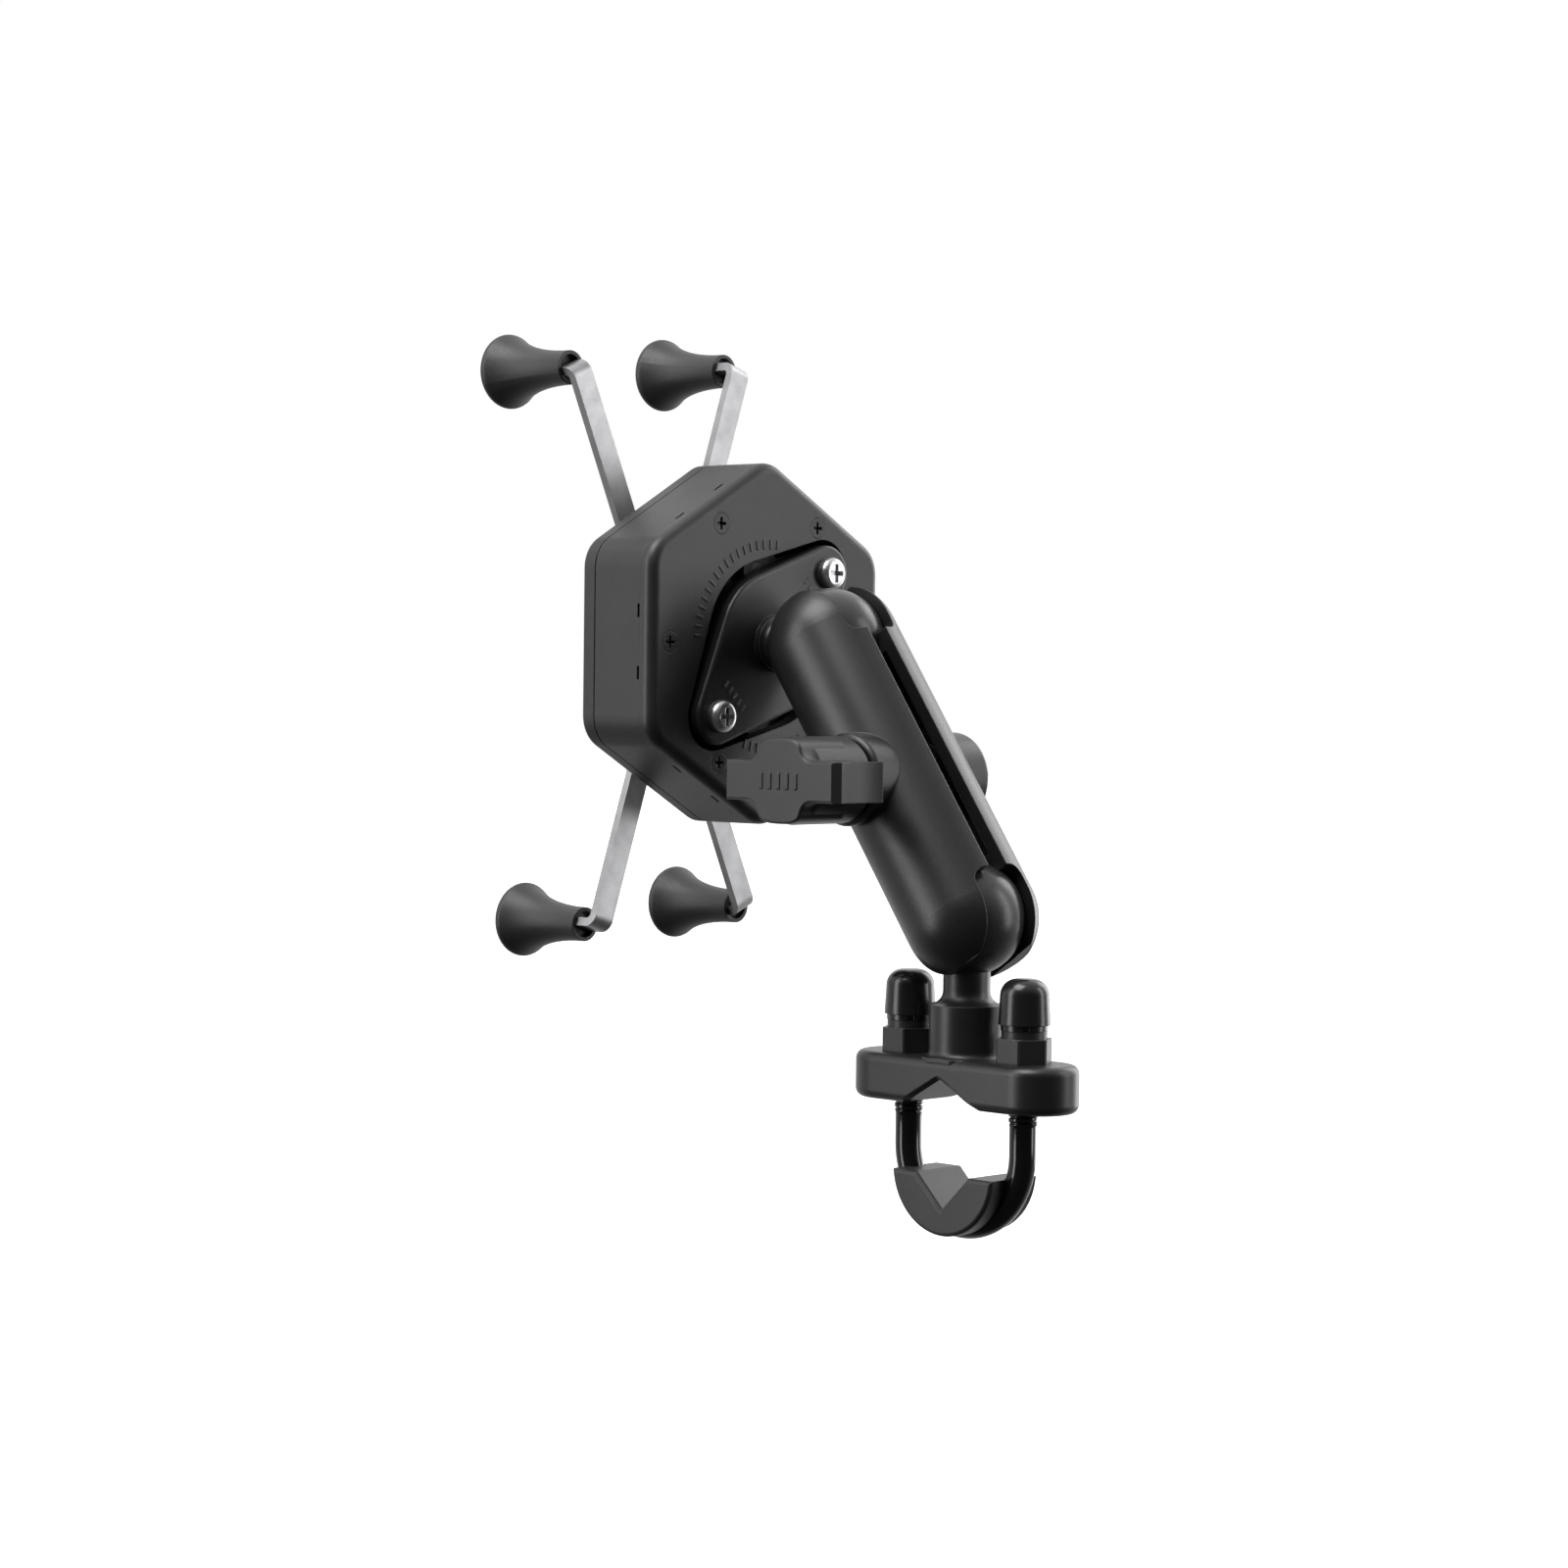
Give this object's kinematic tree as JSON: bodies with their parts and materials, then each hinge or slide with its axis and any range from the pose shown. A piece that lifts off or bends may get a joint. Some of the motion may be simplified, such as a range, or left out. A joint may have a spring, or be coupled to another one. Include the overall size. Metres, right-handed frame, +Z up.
{
  "type": "phone handlebar mount",
  "caption": "U-bolt handlebar clamp with a ball, a double-socket arm tightened by a wing knob, and a vibration-isolating head with a spring-closed X-shaped phone grip.",
  "frame": {"origin": "centre of the round rail held in the clamp", "axes": "+Y along the rail, +Z up through the base ball, -X towards the phone and rider"},
  "size_m": [0.1546, 0.0752, 0.2051],
  "materials": {
    "cast_black": "satin black powder coat on cast aluminium",
    "gloss_black_steel": "gloss black coated steel rod",
    "black_steel": "black zinc on steel",
    "black_plastic": "satin black glass-filled plastic",
    "nylon": "dark nylon locking ring",
    "cap_rubber": "smooth black rubber",
    "ball_rubber": "smooth black rubber",
    "spring_steel": "spring steel",
    "brass": "machined brass",
    "bright_zinc": "bright zinc plate",
    "isolator_black": "black anodised aluminium",
    "bush_rubber": "soft silicone rubber",
    "housing_black": "satin charcoal moulded plastic",
    "stainless": "brushed stainless steel",
    "cup_rubber": "matte black rubber"
  },
  "bodies": {
    "base": {"base_plate": "cast_black"},
    "u_bolt": {"u_bolt": "gloss_black_steel", "rail_saddle": "black_plastic"},
    "nut_rear": {"lock_nut_rear": "black_steel", "nylon_ring_rear": "nylon", "nut_cap_rear": "cap_rubber"},
    "nut_front": {"lock_nut_front": "black_steel", "nylon_ring_front": "nylon", "nut_cap_front": "cap_rubber"},
    "base_ball": {"base_ball_cover": "ball_rubber"},
    "arm": {"arm_shell_knob_side": "cast_black", "clamp_washer": "black_steel", "clamp_spring": "spring_steel"},
    "bolt_half": {"arm_shell_bolt_side": "cast_black", "clamp_bolt": "gloss_black_steel"},
    "knob": {"knob_body": "black_plastic", "knob_insert": "brass"},
    "head_ball": {"head_ball_cover": "ball_rubber"},
    "head": {"diamond_base": "cast_black", "ball_base_screws": "bright_zinc", "ball_base_nuts": "bright_zinc", "isolator_plate": "isolator_black"},
    "housing": {"housing_back_cover": "housing_black", "housing_body": "housing_black", "housing_front_cover": "housing_black", "housing_screws": "black_steel", "isolator_bushes": "bush_rubber", "hub_base": "housing_black", "hub_spring": "spring_steel", "hub_cover": "housing_black", "pivot_rivet": "spring_steel", "phone_pad": "cup_rubber"},
    "bar_a": {"grip_bar_a": "stainless", "grip_cups_a": "cup_rubber"},
    "bar_b": {"grip_bar_b": "stainless", "grip_cups_b": "cup_rubber"}
  },
  "joints": [
    {"name": "nut_rear_turn", "type": "hinge", "parent": "base", "child": "nut_rear", "pos_m": [-0.01678, 0, 0.01732], "axis": [0, 0, 1], "range_deg": [-1441, 1081]},
    {"name": "nut_front_turn", "type": "hinge", "parent": "base", "child": "nut_front", "pos_m": [0.01678, 0, 0.01732], "axis": [0, 0, 1], "range_deg": [-1441, 1081]},
    {"name": "u_bolt_lift", "type": "slide", "parent": "base", "child": "u_bolt", "axis": [0, 0, 1], "range_m": [-0.0038, 0.00507]},
    {"name": "base_swivel", "type": "hinge", "parent": "base", "child": "base_ball", "pos_m": [0, 0, 0.04772], "axis": [0, 0, 1], "continuous": true},
    {"name": "base_tilt", "type": "hinge", "parent": "base_ball", "child": "arm", "pos_m": [0, 0, 0.04772], "axis": [0, 1, 0], "range_deg": [-36, 104]},
    {"name": "knob_turn", "type": "hinge", "parent": "arm", "child": "knob", "pos_m": [-0.02134, 0, 0.07764], "axis": [0, -1, 0], "range_deg": [-1, 721]},
    {"name": "arm_open", "type": "slide", "parent": "arm", "child": "bolt_half", "axis": [0, 1, 0], "range_m": [0, 0.00253], "deforming": ["clamp_spring"]},
    {"name": "head_tilt", "type": "hinge", "parent": "arm", "child": "head_ball", "pos_m": [-0.04268, 0, 0.10755], "axis": [0, 1, 0], "range_deg": [-18, 128]},
    {"name": "head_spin", "type": "hinge", "parent": "head_ball", "child": "head", "pos_m": [-0.04268, 0, 0.10755], "axis": [1, 0, 0], "continuous": true},
    {"name": "isolator_float", "type": "slide", "parent": "head", "child": "housing", "axis": [0, 0, 1], "range_m": [-0.001, 0.001], "stiffness_N_per_m": 8000, "deforming": ["isolator_bushes"]},
    {"name": "grip_a_turn", "type": "hinge", "parent": "housing", "child": "bar_a", "pos_m": [-0.08568, 0, 0.10755], "axis": [-1, 0, 0], "range_deg": [0, 20], "stiffness_Nm_per_rad": 0.3, "springref_deg": -20.05, "deforming": ["hub_spring"]},
    {"name": "grip_b_turn", "type": "hinge", "parent": "housing", "child": "bar_b", "pos_m": [-0.08568, 0, 0.10755], "axis": [-1, 0, 0], "range_deg": [-20, 0]}
  ],
  "couplings": [
    {"joint": "nut_rear_turn", "follows": "u_bolt_lift", "rad_per_m": -4947.4},
    {"joint": "nut_front_turn", "follows": "u_bolt_lift", "rad_per_m": -4947.4},
    {"joint": "knob_turn", "follows": "arm_open", "rad_per_m": 4947.4},
    {"joint": "grip_b_turn", "follows": "grip_a_turn", "ratio": -1}
  ]
}
